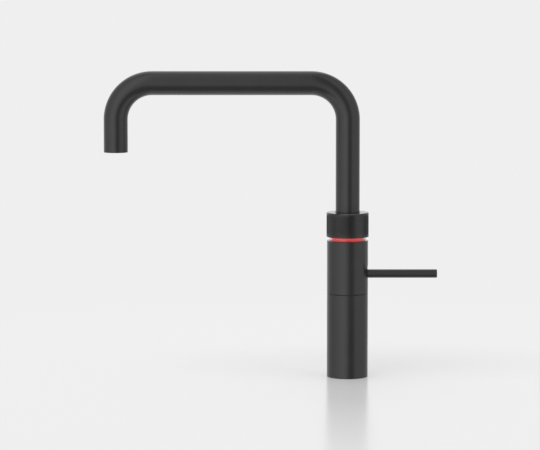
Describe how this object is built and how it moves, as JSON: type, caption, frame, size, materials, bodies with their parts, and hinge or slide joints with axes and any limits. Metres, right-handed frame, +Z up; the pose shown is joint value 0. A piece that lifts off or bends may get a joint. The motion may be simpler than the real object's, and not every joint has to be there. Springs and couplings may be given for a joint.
{
  "type": "boiling water tap",
  "caption": "Kitchen tap with a square-arch swivel spout, a thin joystick mixer lever, a push-and-turn ring for boiling water over a lit red band, and a shank for one tap hole.",
  "frame": {"origin": "centre of the body's round foot, on the worktop's top face", "axes": "+Z up along the body and the riser; -X towards the spout's outlet; +X along the lever at rest; +Y to the back in the usual front view"},
  "size_m": [0.3185, 0.048, 0.3584],
  "materials": {
    "black_satin": "satin black powder coat",
    "black_rubber": "matte",
    "brass": "machined",
    "stainless": "turned",
    "ceramic": "lapped ceramic",
    "dark_plastic": "moulded",
    "circuit_board": "solder mask",
    "red_light_guide": "lit from below",
    "clear_lens": "clear polycarbonate",
    "pale_tube": "translucent hose"
  },
  "bodies": {
    "tap_body": {"lower_sleeve": "black_satin", "seam_ring": "black_rubber", "core": "brass", "shank": "stainless", "base_seal": "black_rubber", "clamp_seal": "black_rubber", "clamp_washer": "stainless", "clamp_nut": "brass", "cold_inlet": "stainless", "hot_inlet": "stainless", "boiling_inlet": "brass", "cable_grommet": "black_rubber", "light_board": "circuit_board", "light_guide": "red_light_guide", "lens_ring": "clear_lens", "boil_seat": "ceramic", "thrust_washer": "ceramic", "spout_lock_screw": "stainless", "cartridge_housing": "dark_plastic", "cartridge_nut": "brass", "port_seals": "black_rubber", "fixed_disc": "ceramic", "trunnion_pins": "stainless"},
    "shroud": {"upper_sleeve": "black_satin"},
    "gimbal": {"gimbal_ring": "stainless"},
    "lever": {"lever_rod": "black_satin", "lever_dome": "black_satin", "ball_stem": "stainless", "pivot_pin": "stainless"},
    "guide_frame": {"guide_frame": "dark_plastic"},
    "disc_carrier": {"disc_carrier": "dark_plastic", "moving_disc": "ceramic"},
    "hub": {"ring_hub": "brass", "boil_disc": "ceramic", "retainer_plate": "stainless", "hub_screws": "stainless"},
    "boil_ring": {"boil_ring": "black_satin", "ring_spring": "stainless"},
    "spout": {"spout_tube": "black_satin", "spout_journal": "brass", "journal_seals": "black_rubber", "boiling_tube": "pale_tube", "aerator_housing": "dark_plastic", "outlet_screen": "stainless", "boiling_nozzle": "stainless"}
  },
  "joints": [
    {"name": "spout_swivel", "type": "hinge", "parent": "tap_body", "child": "spout", "pos_m": [0, 0, 0.14], "axis": [0, 0, 1], "continuous": true},
    {"name": "ring_turn", "type": "hinge", "parent": "tap_body", "child": "hub", "pos_m": [0, 0, 0.142], "axis": [0, 0, 1], "range_deg": [0, 60]},
    {"name": "ring_press", "type": "slide", "parent": "hub", "child": "boil_ring", "axis": [0, 0, -1], "range_m": [0, 0.003], "stiffness_N_per_m": 2000, "springref_m": -0.004, "deforming": ["ring_spring"]},
    {"name": "lever_swing", "type": "hinge", "parent": "tap_body", "child": "gimbal", "pos_m": [0.004, 0, 0.0994], "axis": [0, 0, 1], "range_deg": [-16, 16]},
    {"name": "shroud_turn", "type": "hinge", "parent": "tap_body", "child": "shroud", "pos_m": [0, 0, 0.106], "axis": [0, 0, 1], "range_deg": [-12.6, 12.6]},
    {"name": "lever_lift", "type": "hinge", "parent": "gimbal", "child": "lever", "pos_m": [0.004, 0, 0.0994], "axis": [0, -1, 0], "range_deg": [0, 17]},
    {"name": "frame_slide", "type": "slide", "parent": "tap_body", "child": "guide_frame", "axis": [0, 1, 0], "range_m": [-0.0028, 0.0028]},
    {"name": "disc_slide", "type": "slide", "parent": "guide_frame", "child": "disc_carrier", "axis": [0, 0, 1], "range_m": [-0.0029, 0.0001]}
  ],
  "couplings": [
    {"joint": "shroud_turn", "follows": "lever_swing", "ratio": 0.7875},
    {"joint": "frame_slide", "follows": "lever_swing", "m_per_rad": -0.009476},
    {"joint": "disc_slide", "follows": "lever_lift", "m_per_rad": -0.00946}
  ]
}
